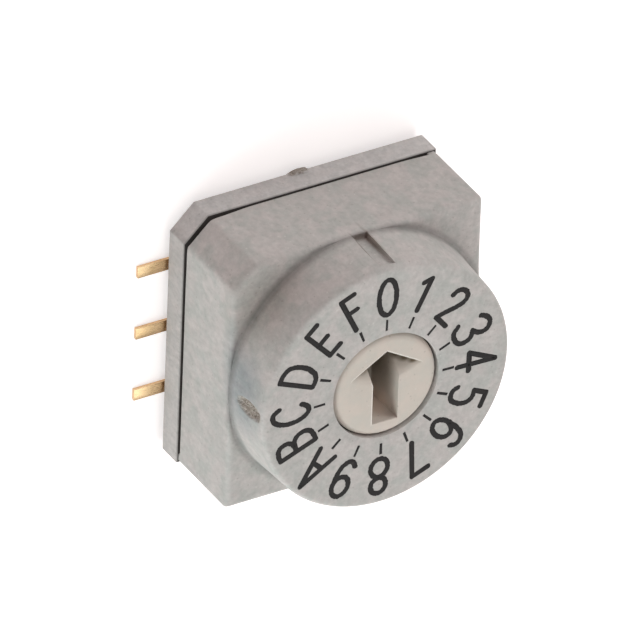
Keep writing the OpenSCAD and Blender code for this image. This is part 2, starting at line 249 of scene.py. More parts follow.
def moulded_skin_group():
    """Cloudy colour, fine grain and the dark and pale flecks of a filled moulding."""
    tree, inside, out = new_group(
        "moulded_skin",
        [("Colour", "Color", (0.4, 0.4, 0.4, 1)), ("Cool Cloud", "Color", (0.4, 0.4, 0.4, 1)),
         ("Warm Cloud", "Color", (0.4, 0.4, 0.4, 1)), ("Cloud Size", "Float", 1.2),
         ("Grain Size", "Float", 8.0), ("Grain Contrast", "Float", 0.1)],
        [("Colour", "Color"), ("Roughness", "Float"), ("Height", "Float")])
    place = millimetres(tree)
    cloud = noise_value(tree, place, inside.outputs["Cloud Size"], 3.0, 0.6)
    moved = add_node(tree, "VectorMath", {"operation": "ADD"}, Vector=place, _1=(31, 17, 5))
    drift = noise_value(tree, moved.outputs["Vector"], inside.outputs["Cloud Size"], 2.0, 0.6)
    drawn = add_node(tree, "VectorMath", {"operation": "MULTIPLY"}, Vector=place,
                     _1=(1.0, 1.0, 0.6))
    streak = noise_value(tree, drawn.outputs["Vector"], 4.5, 3.0, 0.6)
    grain = noise_value(tree, place, inside.outputs["Grain Size"], 3.0, 0.7)
    flecks = add_node(tree, "TexVoronoi", {"feature": "F1"}, Vector=place, Scale=3.4)
    dark_fleck = spread(tree, flecks.outputs["Distance"], 0.04, 0.15, 0.4, 0.0)
    sparks = add_node(tree, "TexVoronoi", {"feature": "F1"}, Vector=moved.outputs["Vector"],
                      Scale=2.6)
    pale_fleck = spread(tree, sparks.outputs["Distance"], 0.03, 0.12, 0.4, 0.0)
    colour = mixed(tree, "MIX", spread(tree, cloud, 0.4, 0.6), inside.outputs["Colour"],
                   inside.outputs["Cool Cloud"])
    colour = mixed(tree, "MIX", spread(tree, drift, 0.45, 0.62), colour,
                   inside.outputs["Warm Cloud"])
    tone = add_node(tree, "Math", {"operation": "ADD"},
                    _0=spread(tree, grain, 0.25, 0.75, -1.0, 1.0),
                    _1=spread(tree, streak, 0.3, 0.7, -1.0, 1.0))
    swing = add_node(tree, "Math", {"operation": "MULTIPLY_ADD"}, _0=tone.outputs[0],
                     _1=inside.outputs["Grain Contrast"], _2=1.0)
    colour = mixed(tree, "MULTIPLY", 1.0, colour, swing.outputs[0])
    colour = mixed(tree, "MIX", dark_fleck, colour, (0.22, 0.2, 0.18, 1))
    colour = mixed(tree, "MIX", pale_fleck, colour, (0.66, 0.64, 0.6, 1))
    tree.links.new(colour, out.inputs["Colour"])
    tree.links.new(spread(tree, grain, 0.3, 0.7, 0.55, 0.75), out.inputs["Roughness"])
    relief = add_node(tree, "Math", {"operation": "ADD"}, _0=grain, _1=cloud)
    tree.links.new(relief.outputs[0], out.inputs["Height"])
    return tree


def level_band_group():
    """1 between two levels, near one radius from the axis: where shade is painted into gaps and
    creases, and how far the edge tint reaches.
    """
    tree, inside, out = new_group(
        "level_band", [("Level", "Float", 0.0), ("Rise", "Float", 0.1), ("Radius", "Float", 0.0),
                  ("Width", "Float", 100.0), ("Softness", "Float", 0.4)], [("Mask", "Float")])
    place = millimetres(tree)
    full = add_node(tree, "Math", {"operation": "SUBTRACT"}, _0=1.0,
                    _1=inside.outputs["Softness"])
    parts = add_node(tree, "SeparateXYZ", None, Vector=place)
    flat = add_node(tree, "CombineXYZ", None, X=parts.outputs["X"], Y=parts.outputs["Y"])
    around = add_node(tree, "VectorMath", {"operation": "LENGTH"}, Vector=flat.outputs["Vector"])
    above = add_node(tree, "Math", {"operation": "SUBTRACT"}, _0=parts.outputs["Z"],
                     _1=inside.outputs["Level"])
    beside = add_node(tree, "Math", {"operation": "SUBTRACT"}, _0=around.outputs["Value"],
                      _1=inside.outputs["Radius"])
    near = []
    for offset, reach in ((above, "Rise"), (beside, "Width")):
        size = add_node(tree, "Math", {"operation": "ABSOLUTE"}, _0=offset.outputs[0])
        share = add_node(tree, "Math", {"operation": "DIVIDE"}, _0=size.outputs[0],
                         _1=inside.outputs[reach])
        near.append(spread(tree, share.outputs[0], full.outputs[0], 1.0, 1.0, 0.0))
    both = add_node(tree, "Math", {"operation": "MULTIPLY"}, _0=near[0], _1=near[1])
    tree.links.new(both.outputs[0], out.inputs["Mask"])
    return tree


def pocket_group():
    """1 in the middle of an egg-shaped region, and fading to 0 at its skin."""
    tree, inside, out = new_group(
        "pocket", [("Middle", "Vector", None), ("Reach", "Vector", None)], [("Mask", "Float")])
    place = millimetres(tree)
    away = add_node(tree, "VectorMath", {"operation": "SUBTRACT"}, Vector=place,
                    _1=inside.outputs["Middle"])
    scaled = add_node(tree, "VectorMath", {"operation": "DIVIDE"},
                      Vector=away.outputs["Vector"], _1=inside.outputs["Reach"])
    length = add_node(tree, "VectorMath", {"operation": "LENGTH"}, Vector=scaled.outputs["Vector"])
    tree.links.new(spread(tree, length.outputs["Value"], 0.3, 1.0, 1.0, 0.0), out.inputs["Mask"])
    return tree


def torn_gate_group():
    """Brown torn fibres inside an oval region, as a mask and a streaky height."""
    tree, inside, out = new_group(
        "torn_gate",
        [("Middle", "Vector", None), ("Reach", "Vector", None)],
        [("Mask", "Float"), ("Streaks", "Float")])
    place = millimetres(tree)
    wobble = add_node(tree, "TexNoise", None, Vector=place, Scale=7.0, Detail=3.0)
    shake = add_node(tree, "VectorMath", {"operation": "SUBTRACT"},
                     Vector=wobble.outputs["Color"], _1=(0.5, 0.5, 0.5))
    shaken = add_node(tree, "VectorMath", {"operation": "MULTIPLY_ADD"},
                      Vector=shake.outputs["Vector"], _1=(0.2, 0.2, 0.2), _2=place)
    away = add_node(tree, "VectorMath", {"operation": "SUBTRACT"},
                    Vector=shaken.outputs["Vector"], _1=inside.outputs["Middle"])
    scaled = add_node(tree, "VectorMath", {"operation": "DIVIDE"},
                      Vector=away.outputs["Vector"], _1=inside.outputs["Reach"])
    length = add_node(tree, "VectorMath", {"operation": "LENGTH"}, Vector=scaled.outputs["Vector"])
    streaks = add_node(tree, "TexNoise", None, Vector=scaled.outputs["Vector"], Scale=8.0,
                       Detail=4.0, Roughness=0.7)
    tree.links.new(spread(tree, length.outputs["Value"], 0.75, 1.05, 1.0, 0.0),
                   out.inputs["Mask"])
    tree.links.new(streaks.outputs["Fac"], out.inputs["Streaks"])
    return tree


def edge_wear_and_highlight_group():
    """1 along edges, from the turn of the normal over a short distance; where Towards isn't
    zero, only along those that turn that way. The tint it carries is a painted highlight, with
    some wear on the grey edges."""
    tree, inside, out = new_group(
        "edge_wear_and_highlight", [("Width", "Float", 0.00006), ("Towards", "Vector", None)],
        [("Mask", "Float")])
    soft = add_node(tree, "Bevel", {"samples": 4}, Radius=inside.outputs["Width"])
    flat = add_node(tree, "NewGeometry")
    turn = add_node(tree, "VectorMath", {"operation": "DOT_PRODUCT"},
                    Vector=soft.outputs["Normal"], _1=flat.outputs["Normal"])
    own = add_node(tree, "VectorTransform",
                   {"vector_type": "NORMAL", "convert_from": "WORLD", "convert_to": "OBJECT"},
                   Vector=soft.outputs["Normal"])
    lean = add_node(tree, "VectorMath", {"operation": "DOT_PRODUCT"}, _0=own.outputs["Vector"],
                    _1=inside.outputs["Towards"])
    both = add_node(tree, "Math", {"operation": "MULTIPLY"},
                    _0=spread(tree, turn.outputs["Value"], 0.995, 0.92),
                    _1=spread(tree, lean.outputs["Value"], -0.06, 0.0))
    tree.links.new(both.outputs[0], out.inputs["Mask"])
    return tree


def drawn_metal_group():
    """Fine rolling lines and soft stains of plated strip."""
    tree, inside, out = new_group(
        "drawn_metal", [("Stretch", "Vector", (1, 1, 1)), ("Scale", "Float", 6.0)],
        [("Lines", "Float"), ("Stain", "Float")])
    place = millimetres(tree)
    stretched = add_node(tree, "VectorMath", {"operation": "MULTIPLY"}, Vector=place,
                         _1=inside.outputs["Stretch"])
    tree.links.new(noise_value(tree, stretched.outputs["Vector"], inside.outputs["Scale"], 4.0),
                   out.inputs["Lines"])
    tree.links.new(noise_value(tree, place, 1.6, 3.0), out.inputs["Stain"])
    return tree


SKIN = moulded_skin_group()
LEVEL_BAND = level_band_group()
POCKET = pocket_group()
GATE = torn_gate_group()
EDGE = edge_wear_and_highlight_group()
METAL = drawn_metal_group()


def new_material(name):
    material = bpy.data.materials.new(name)
    material.use_nodes = True
    tree = material.node_tree
    return material, tree, tree.nodes["Principled BSDF"]


def place_group(tree, group, **values):
    node = tree.nodes.new("ShaderNodeGroup")
    node.node_tree = group
    for key, value in values.items():
        node.inputs[key.replace("_", " ")].default_value = value
    return node


def moulded_plastic(name, colour, cool, warm, cloud=1.3, grain=8.0, contrast=0.09,
                    depth=0.012, edge_tint=(0.62, 0.6, 0.57, 1), edge_share=0.25, edge_width=0.06,
                    edge_depth=100, towards=(0, 0, 0), gates=(), shade_bands=(), pockets=()):
    """Matte filled plastic; gates are middles and reaches of torn gate marks, the shade bands give
    level, rise, radius, width, softness and strength of near-black painted shade in gaps and
    creases, and pockets give middle, reach and a colour that multiplies the tint: painted shade
    where it is below 1 and painted light where it is above."""
    material, tree, shader = new_material(name)
    skin = place_group(tree, SKIN, Colour=colour, Cool_Cloud=cool, Warm_Cloud=warm,
                       Cloud_Size=cloud, Grain_Size=grain, Grain_Contrast=contrast)
    # Edge tint: a paler colour along edges near the face; a painted highlight, with some wear on the
    # grey
    edge = place_group(tree, EDGE, Width=edge_width * MM, Towards=towards)
    high = place_group(tree, LEVEL_BAND, Level=FACE_Z, Rise=edge_depth, Softness=0.3)
    bright_edge = add_node(tree, "Math", {"operation": "MULTIPLY"}, _0=edge.outputs["Mask"],
                    _1=high.outputs["Mask"])
    fade = spread(tree, bright_edge.outputs[0], 0.0, 1.0, 0.0, edge_share)
    tint = mixed(tree, "MIX", fade, skin.outputs["Colour"], edge_tint)
    # Painted shade: near black mixed in over each band, for the dark of gaps and creases
    for level, rise, radius, width, softness, strength in shade_bands:
        layer = place_group(tree, LEVEL_BAND, Level=level, Rise=rise, Radius=radius, Width=width,
                            Softness=softness)
        shade_share = spread(tree, layer.outputs["Mask"], 0.0, 1.0, 0.0, strength)
        tint = mixed(tree, "MIX", shade_share, tint, (0.02, 0.015, 0.012, 1))
    # Painted shade and light: each pocket multiplies the tint by its colour
    for middle, reach, painted_tone in pockets:
        pocket = place_group(tree, POCKET, Middle=middle, Reach=reach)
        tint = mixed(tree, "MULTIPLY", pocket.outputs["Mask"], tint, painted_tone)
    height = skin.outputs["Height"]
    for middle, reach in gates:
        gate = place_group(tree, GATE, Middle=middle, Reach=reach)
        browns = mixed(tree, "MIX", spread(tree, gate.outputs["Streaks"], 0.36, 0.64),
                       (0.1, 0.075, 0.058, 1), (0.5, 0.45, 0.4, 1))
        tint = mixed(tree, "MIX", gate.outputs["Mask"], tint, browns)
        torn = add_node(tree, "Math", {"operation": "MULTIPLY"}, _0=gate.outputs["Mask"],
                        _1=gate.outputs["Streaks"])
        height = add_node(tree, "Math", {"operation": "MULTIPLY_ADD"}, _0=torn.outputs[0],
                          _1=4.0, _2=height).outputs[0]
    bump = add_node(tree, "Bump", None, Strength=0.6, Distance=depth * MM, Height=height)
    tree.links.new(tint, shader.inputs["Base Color"])
    tree.links.new(skin.outputs["Roughness"], shader.inputs["Roughness"])
    tree.links.new(bump.outputs["Normal"], shader.inputs["Normal"])
    shader.inputs["Specular IOR Level"].default_value = 0.35
    return material


def plated_metal(name, colour, stain, roughness, stretch, depth=0.004):
    """Thin plating over rolled strip."""
    material, tree, shader = new_material(name)
    metal = place_group(tree, METAL, Stretch=stretch)
    tint = mixed(tree, "MIX", spread(tree, metal.outputs["Stain"], 0.45, 0.75), colour, stain)
    bump = add_node(tree, "Bump", None, Strength=0.5, Distance=depth * MM,
                    Height=metal.outputs["Lines"])
    shine = spread(tree, metal.outputs["Lines"], 0.3, 0.7, roughness - 0.07, roughness + 0.1)
    tree.links.new(tint, shader.inputs["Base Color"])
    tree.links.new(shine, shader.inputs["Roughness"])
    tree.links.new(bump.outputs["Normal"], shader.inputs["Normal"])
    shader.inputs["Metallic"].default_value = 1.0
    return material


def dial_ink():
    """Pad-printed ink, a little thinner in places."""
    material, tree, shader = new_material("dial_ink")
    place = millimetres(tree)
    wear = noise_value(tree, place, 6.0, 4.0, 0.7)
    tint = mixed(tree, "MIX", spread(tree, wear, 0.55, 0.8), (0.014, 0.011, 0.011, 1),
                 (0.045, 0.038, 0.037, 1))
    shader.inputs["Specular IOR Level"].default_value = 0.2
    bump = add_node(tree, "Bump", None, Strength=0.4, Distance=0.006 * MM, Height=wear)
    tree.links.new(tint, shader.inputs["Base Color"])
    tree.links.new(spread(tree, wear, 0.3, 0.7, 0.45, 0.65), shader.inputs["Roughness"])
    tree.links.new(bump.outputs["Normal"], shader.inputs["Normal"])
    return material


def seal_rubber():
    """Black moulded rubber with a faint bloom."""
    material, tree, shader = new_material("seal_rubber")
    place = millimetres(tree)
    bloom = noise_value(tree, place, 3.0, 5.0, 0.6)
    tint = mixed(tree, "MIX", bloom, (0.012, 0.012, 0.012, 1), (0.04, 0.04, 0.042, 1))
    bump = add_node(tree, "Bump", None, Strength=0.3, Distance=0.01 * MM, Height=bloom)
    tree.links.new(tint, shader.inputs["Base Color"])
    tree.links.new(spread(tree, bloom, 0.3, 0.7, 0.5, 0.7), shader.inputs["Roughness"])
    tree.links.new(bump.outputs["Normal"], shader.inputs["Normal"])
    return material


GREY = (0.452, 0.43, 0.414, 1)
GREY_COOL = (0.418, 0.412, 0.394, 1)
GREY_WARM = (0.482, 0.447, 0.432, 1)
GREY_PLASTIC = moulded_plastic(
    "moulded_grey", GREY, GREY_COOL, GREY_WARM,
    gates=[((-4.93, *GATE_MID), (0.5, 0.34, 0.8))],
    # Painted shade: the bore wall below the face, dark in the ring gap round the rotor, and the
    # crease at the collar's foot
    shade_bands=[(FACE_Z - 10.0, 9.72, LIP_R - 1.0, 1.008, 0.01, 0.9),
          (SHOULDER_Z + 0.05, 0.3, COLLAR_R + 0.05, 0.25, 1.0, 0.5)],
    # Painted shade: along the index notch's left edge, right wall and end ledge, over the shoulder
    # and collar at the cut corner, and cooler on the collar's left side
    pockets=[((-NOTCH_HALF - 0.01, COLLAR_R - 0.04, 5.4), (0.05, 0.2, 1.2), (0.4, 0.36, 0.32, 1)),
             ((NOTCH_HALF, NOTCH_FLOOR + 0.1, 5.0), (0.1, 0.3, 1.3), (0.62, 0.56, 0.52, 1)),
             ((0, NOTCH_FLOOR + 0.12, SHOULDER_Z), (0.42, 0.2, 0.15), (0.55, 0.5, 0.47, 1)),
             ((-3.7, 3.3, SHOULDER_Z + 0.2), (2.0, 2.0, 1.6), (0.84, 0.82, 0.8, 1)),
             ((-4.95, 0.8, 5.4), (0.5, 3.0, 1.5), (0.64, 0.7, 0.74, 1))])
BASE_PLASTIC = moulded_plastic(
    # The grey is partly the base's own colour and partly lifted as painted light for its +Y side
    "moulded_base", (0.505, 0.484, 0.475, 1), (0.49, 0.474, 0.466, 1), (0.53, 0.5, 0.49, 1),
    cloud=1.5, contrast=0.11,
    gates=[((-0.03, 5.08, STANDOFF + 0.15), (0.47, 0.12, 0.17))],
    # Painted shade: near black inside the parting gap under the housing, and a darker ledge at its
    # mouth
    shade_bands=[(BASE_TOP + 1.0, 1.002, 0, 100, 0.001, 0.93), (BASE_TOP + 1.0, 1.06, 0, 100, 0.05, 0.4)],
    # Painted shade on the base's left side
    pockets=[((-5.0, 0, 0.8), (0.3, 14.0, 3.0), (0.87, 0.85, 0.84, 1))])
CREAM_PLASTIC = moulded_plastic(
    "rotor_cream", (0.56, 0.505, 0.45, 1), (0.54, 0.5, 0.45, 1), (0.58, 0.512, 0.458, 1),
    # Painted highlight: a pale tint along the slot's edges near the face that lean towards +X and -Y
    contrast=0.015, depth=0.004, edge_tint=(0.95, 0.91, 0.85, 1), edge_share=0.8,
    edge_width=0.1, edge_depth=0.9, towards=(0.75, -0.6, 0),
    # Painted shade: near black on the rotor's side below the face, in the ring gap
    shade_bands=[(HEAD_Z - 10.0, 9.7, 3.0, 0.97, 0.01, 0.9)],
    # Painted shade deep in the driver slot and under the wings' roof lines; the last pocket, above 1,
    # is painted light at the slot's lower end
    pockets=[((0, 0.9, HEAD_Z - 1.7), (3.0, 2.5, 1.75), (0.17, 0.15, 0.1, 1)),
             ((0.62, 0.84, HEAD_Z - 0.5), (0.38, 0.22, 0.3), (0.25, 0.21, 0.16, 1)),
             ((0.92, 0.7, HEAD_Z - 0.32), (0.36, 0.15, 0.2), (0.25, 0.21, 0.16, 1)),
             ((1.15, 0.6, HEAD_Z - 0.17), (0.25, 0.1, 0.13), (0.3, 0.26, 0.2, 1)),
             ((-0.85, 0.72, HEAD_Z - 0.36), (0.6, 0.22, 0.32), (0.4, 0.35, 0.28, 1)),
             ((-0.1, -1.5, HEAD_Z - 1.0), (0.9, 1.0, 0.95), (1.6, 1.56, 1.52, 1))])
LEAD_GOLD = plated_metal("gold_lead", (0.71, 0.485, 0.28, 1), (0.6, 0.395, 0.21, 1), 0.28,
                         (1.0, 9.0, 4.0), 0.002)
PLATE_GOLD = plated_metal("gold_contact", (0.8, 0.56, 0.23, 1), (0.68, 0.44, 0.16, 1), 0.25,
                          (6.0, 1.0, 6.0))
SPRING_STEEL = plated_metal("spring_steel", (0.6, 0.59, 0.57, 1), (0.5, 0.48, 0.45, 1), 0.3,
                            (4.0, 1.0, 9.0))
INK = dial_ink()
RUBBER = seal_rubber()


# Housing

def side_reach(angle, inset=0.0, half=BLOCK_HALF, cut=CORNER_CUT):
    """Distance from the axis to the side of the square block with its one cut corner."""
    sides = [(math.pi / 2 * i, half) for i in range(4)]
    sides.append((math.radians(135), (2 * half - cut) / math.sqrt(2)))
    total = 0.0
    for facing, distance in sides:
        towards = math.cos(angle - facing)
        if towards > 0.2:
            total += ((distance - inset) / towards) ** -CORNER_SHARPNESS
    return total ** (-1 / CORNER_SHARPNESS)


def collar_reach(z):
    """Radius of the collar's drafted side."""
    return COLLAR_R - (z - SHOULDER_Z) * COLLAR_DRAFT


def gate_hollow(angle, z):
    """Depth of the torn hollow that the gate left on the side of the collar."""
    y = COLLAR_R * math.sin(angle)
    if math.cos(angle) > 0 or abs(y) > 0.8:
        return 0.0
    away = math.hypot((y - GATE_MID[0]) / GATE_HALF[0], (z - GATE_MID[1]) / GATE_HALF[1])
    torn = noise.noise(Vector((y * 9, z * 3, 1.7))) + 0.6 * noise.noise(Vector((y * 21, z * 9, 4)))
    return smooth_step(1.15, 0.7, away) * (GATE_DEPTH + 0.06 * torn)


def in_notch(angle):
    """True on the rays that meet the floor of the index notch."""
    return abs(NOTCH_FLOOR / math.tan(angle)) < NOTCH_HALF + 0.002 if math.sin(angle) > 0.9 else False


def seam_lift(angle, side):
    """How far the block's lower edge stands above its level: the parting gap is uneven."""
    x, y = side * math.cos(angle), side * math.sin(angle)
    cut = CUT_LIFT * smooth_step(0.35, 0.2, abs(angle - math.radians(135)))
    left = LEFT_DROP * smooth_step(0.97, 1.0, -x / BLOCK_HALF)
    index = smooth_step(0.97, 1.0, y / BLOCK_HALF) * smooth_step(-4.0, -2.4, x)
    return cut - left - INDEX_DROP * index * smooth_step(5.2, 3.4, x)


def housing_profile(angle):
    """Section of the housing in one direction from the axis: a closed line of (radius, height)."""
    notched = in_notch(angle)
    floor = NOTCH_FLOOR / math.sin(angle) if notched else 0.0
    side = side_reach(angle)
    foot_x = floor if notched else COLLAR_R
    outer = max(side, COLLAR_R + 0.012)
    gap = outer - foot_x
    room = gap / (FOOT_R + EDGE_R * outer / BLOCK_HALF)
    share = 0.14 if notched else room / (1 + room ** 4) ** 0.25
    foot, edge = FOOT_R * share, EDGE_R * share

    line = [(LIP_R, FACE_Z - 0.03), (LIP_R + 0.009, FACE_Z - 0.009), (LIP_R + 0.03, FACE_Z)]
    line += [(r, FACE_Z) for r in (2.6, 3.2, 3.8, 4.3)]
    rim_x = collar_reach(FACE_Z - RIM_R) - RIM_R
    line += arc(rim_x, FACE_Z - RIM_R, RIM_R, 90, 4, 7)
    top, low = FACE_Z - RIM_R - 0.04, SHOULDER_Z + FOOT_R + 0.01
    rows = 26
    for i in range(rows + 1):
        z = top + (low - top) * i / rows
        r = collar_reach(z) - gate_hollow(angle, z)
        if notched:
            r += (min(floor, r) - r) * smooth_step(NOTCH_TOP + 0.1, NOTCH_TOP - 0.25, z)
        line.append((r, z))
    for r, z in arc(foot, SHOULDER_Z + foot, foot, 180, 270, 7):
        side_r = min(foot_x, collar_reach(z)) if not notched else foot_x
        line.append((side_r + r, z))
    inner = line[-1][0]
    shelf = side_reach(angle, edge) + outer - side
    line += [(inner + (shelf - inner) * t, SHOULDER_Z) for t in (0.15, 0.5, 0.85)]
    proud = outer - side
    for i in range(8):
        turn = math.radians(90 - 90 * i / 7)
        inset, z = edge * (1 - math.cos(turn)), SHOULDER_Z - edge * (1 - math.sin(turn))
        line.append((side_reach(angle, inset) + proud, z))
    lift = seam_lift(angle, side)
    for z in (SHOULDER_Z - EDGE_R - 0.05, SHOULDER_Z - 0.5, 3.2, 2.4, BLOCK_Z + lift + 0.06):
        line.append((side + proud * smooth_step(SHOULDER_Z - PROUD_FADE, SHOULDER_Z, z), z))
    line += [(side - 0.015, BLOCK_Z + lift + 0.018), (side_reach(angle, 0.06), BLOCK_Z + lift)]
    wall = side_reach(angle, SIDE_WALL)
    hall = min(HALL_R, wall - 0.05)
    line += [(wall, BLOCK_Z + lift), (wall, CAVITY_Z), (hall, CAVITY_Z), (hall, CEILING_Z)]
    line += [(GLAND_R, CEILING_Z), (GLAND_R, GLAND_Z), (LIP_R, GLAND_Z)]
    return line


def ring_angles():
    """Directions at which the housing is cut: an even ring, and more where it has detail."""
    even = [1.5 * i for i in range(240)]
    fine = [(180, 7, 0.35), (129.7, 1.2, 0.3), (140.3, 1.2, 0.3), (45, 1.5, 0.3),
            (225, 1.5, 0.3), (315, 1.5, 0.3), (90, 15, 0.75), (0, 15, 0.75), (270, 15, 0.75)]
    for middle, reach, step in fine:
        count = round(reach / step)
        even += [(middle + step * i) % 360 for i in range(-count, count + 1)]
    wall = math.degrees(math.atan2(NOTCH_HALF, NOTCH_FLOOR))
    exact = [90 + side * turn for side in (-1, 1) for turn in (wall, wall + 0.08, wall + 0.5)]
    kept = []
    for angle in sorted(set(even)):
        if all(abs(angle - e) > 0.2 for e in exact) and (not kept or angle - kept[-1] > 0.15):
            kept.append(angle)
    return [math.radians(a) for a in sorted(kept + exact)]


def drawn_ring(profile_of, angles):
    """A closed tube of rings, each point then drawn out to its place on the profile."""
    profiles = [profile_of(a) for a in angles]
    count, steps = len(profiles[0]), len(angles)
    bm = bmesh.new()
    chain = [bm.verts.new((1, 0, i)) for i in range(count)]
    edges = [bm.edges.new((chain[i], chain[(i + 1) % count])) for i in range(count)]
    bmesh.ops.spin(bm, geom=chain + edges, cent=(0, 0, 0), axis=(0, 0, 1), angle=math.tau,
                   steps=steps, use_merge=True)
    for vert in bm.verts:
        turn = math.atan2(vert.co.y, vert.co.x) / math.tau
        ring = round(turn * steps) % steps
        r, z = profiles[ring][round(vert.co.z)]
        vert.co = (r * math.cos(angles[ring]), r * math.sin(angles[ring]), z)
    bmesh.ops.recalc_face_normals(bm, faces=bm.faces)
    return bm


def make_housing():
    bm = drawn_ring(housing_profile, ring_angles())
    land = 0.3
    low, high = BASE_TOP - 0.005, BLOCK_Z + 0.07
    for sx, sy in ((1, 1), (1, -1), (-1, -1)):
        middle = BLOCK_HALF - land / 2 - 0.02
        place = Matrix.Translation((sx * middle, sy * middle, (low + high) / 2))
        size = Matrix.Diagonal((land, land, high - low, 1))
        made = bmesh.ops.create_cube(bm, size=1, matrix=place @ size)
        upright = [e for v in made["verts"] for e in v.link_edges
                   if abs(e.verts[0].co.z - e.verts[1].co.z) > 0.1]
        bmesh.ops.bevel(bm, geom=list(set(upright)), offset=0.05, segments=3, profile=0.5,
                        affect="EDGES", clamp_overlap=True, material=-1)
    finish_piece(bm, "dressed_housing", GREY_PLASTIC, "case", "housing")


# Dial legend

def glyph_strokes():
    """Every stroke of the legend on the dial: kind, points in millimetres and width."""
    for i, letter in enumerate(POSITIONS):
        turn = Matrix.Rotation(-math.tau * i / len(POSITIONS) - PRINT_TURN, 2)
        for kind, points in GLYPHS[letter]:
            if kind == "ring":
                (x, y), (half_x, half_y) = points
                turns = [math.tau * k / 12 for k in range(12)]
                points = [(x + half_x * math.cos(t), y + half_y * math.sin(t)) for t in turns]
            placed = [PRINT_SHIFT + turn @ Vector(point) for point in points]
            for part in zip(placed, placed[1:]) if kind == "line" else [placed]:
                yield kind, part, STROKE
        yield "line", [PRINT_SHIFT + turn @ Vector((0, y)) for y in TICK], TICK_W


def make_legend():
    """Strokes as flattened cords, with flattened balls that round their ends and corners."""
    bm = bmesh.new()
    for kind, points, width in glyph_strokes():
        curve = bpy.data.curves.new("stroke", "CURVE")
        curve.dimensions = "3D"
        curve.bevel_depth = width / 2
        curve.bevel_resolution = 3
        curve.resolution_u = 8
        curve.use_fill_caps = True
        spline = curve.splines.new("BEZIER")
        spline.bezier_points.add(len(points) - 1)
        spline.use_cyclic_u = kind == "ring"
        for knot, point in zip(spline.bezier_points, points):
            knot.co = (*point, 0)
            knot.handle_left_type = knot.handle_right_type = "VECTOR" if kind == "line" else "AUTO"
        cord = bpy.data.objects.new("stroke", curve)
        bpy.context.scene.collection.objects.link(cord)
        bpy.context.view_layer.update()
        mesh = bpy.data.meshes.new_from_object(
            cord.evaluated_get(bpy.context.evaluated_depsgraph_get()))
        bm.from_mesh(mesh)
        bpy.data.objects.remove(cord)
        bpy.data.meshes.remove(mesh)
        bpy.data.curves.remove(curve)
        ends = points if kind == "line" else points[::len(points) - 1]
        if kind != "ring" and width == STROKE:
            for point in ends:
                bmesh.ops.create_uvsphere(bm, u_segments=14, v_segments=8, radius=width / 2 + 0.001,
                                          matrix=Matrix.Translation((*point, 0)))
    for vert in bm.verts:
        rag = noise.noise_vector(Vector((vert.co.x, vert.co.y, 0)) * 15) * INK_RAG
        vert.co = (vert.co.x + rag.x, vert.co.y + rag.y, vert.co.z * 2 * INK_RISE / STROKE)
    bmesh.ops.remove_doubles(bm, verts=bm.verts, dist=0.0002)
    bmesh.ops.translate(bm, vec=(0, 0, FACE_Z), verts=bm.verts)
    bmesh.ops.recalc_face_normals(bm, faces=bm.faces)
    finish_piece(bm, "dial_legend", INK, "case", sharp=60)


# Base, rotor and leads

def make_base():
    bm = copy_of("base")

    def on_rim(vert):
        x, y = vert.co.x, vert.co.y
        reach = max(abs(x), abs(y), (y - x + BASE_CUT) / 2)
        return reach > BASE_HALF - 0.001 and vert.co.z < BASE_TOP + 0.01

    round_edges(bm, lambda e: all(on_rim(v) for v in e.verts)
                and e.calc_face_angle() > math.radians(30), 0.07)
    finish_piece(bm, "dressed_base", BASE_PLASTIC, "case", "base", sharp=40)


def slot_vert(bm, x, y, depth):
    """The vertex of the driver slot nearest to a place, depth counted from the rotor's face."""
    place = Vector((x, y, HEAD_Z - depth))
    return min(bm.verts, key=lambda v: (v.co - place).length)


def ease_wings(bm):
    """Lets the floors of the arrow's wings rise gently from the shaft to the barbs."""
    corners = {slot_vert(bm, side * 0.51, 0.77, 1.2) for side in (-1, 1)}
    flat = [f for f in bm.faces if corners <= set(f.verts)]
    bmesh.ops.delete(bm, geom=flat, context="FACES")
    peak = slot_vert(bm, 0, 1.36, 1.2)
    ends = []
    for side in (-1, 1):
        corner = slot_vert(bm, side * 0.51, 0.77, 1.2)
        low = slot_vert(bm, side * 0.82, 0.87, 1.2)
        low.co = (side * 0.82, 0.889, HEAD_Z - 0.55)
        below = next(e for e in low.link_edges if peak in e.verts)
        knee = bmesh.utils.edge_split(below, peak, 0.622)[1]
        bmesh.ops.pointmerge(bm, verts=[knee, corner], merge_co=knee.co.copy())
        knee = slot_vert(bm, side * 0.51, 1.055, 0.796)
        top = slot_vert(bm, side * 0.51, 0.27, 0)
        end = slot_vert(bm, side * 0.41, 0.74, 1.13)
        bm.faces.new((top, knee, end))
        bm.faces.new((end, knee, peak))
        ends.append(end)
    bm.faces.new((ends[0], peak, ends[1]))
    bmesh.ops.recalc_face_normals(bm, faces=bm.faces)


def make_rotor():
    bm = copy_of("rotor")
    ease_wings(bm)

    def in_slot(vert):
        return math.hypot(vert.co.x, vert.co.y) < 1.7 and vert.co.z > HEAD_Z - 1.65

    def wing_edge(edge):
        low, high = sorted((v.co for v in edge.verts), key=lambda c: c.y)
        starts = abs(abs(low.x) - 0.51) < 0.01 and abs(low.y - 0.27) < 0.01
        return starts and (high.x * low.x > 0) and high.y > 0.5 and abs(high.x) > 0.45

    round_edges(bm, wing_edge, 0.17, 6)
    round_edges(bm, lambda e: all(in_slot(v) for v in e.verts) and e.is_convex
                and e.calc_length() > 0.3 and all(v.co.z > HEAD_Z - 0.01 for v in e.verts)
                and e.calc_face_angle() > math.radians(60), 0.02, 2)
    finish_piece(bm, "dressed_rotor", CREAM_PLASTIC, "rotor", "rotor", sharp=40)


def make_leads():
    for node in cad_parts:
        if node.startswith("terminal"):
            bm = copy_of(node)
            round_edges(bm, lambda e: all(v.co.z < STANDOFF for v in e.verts)
                        and e.calc_face_angle() > math.radians(60), 0.025, 2)
            finish_piece(bm, "dressed_" + node, LEAD_GOLD, "case", node, sharp=30)


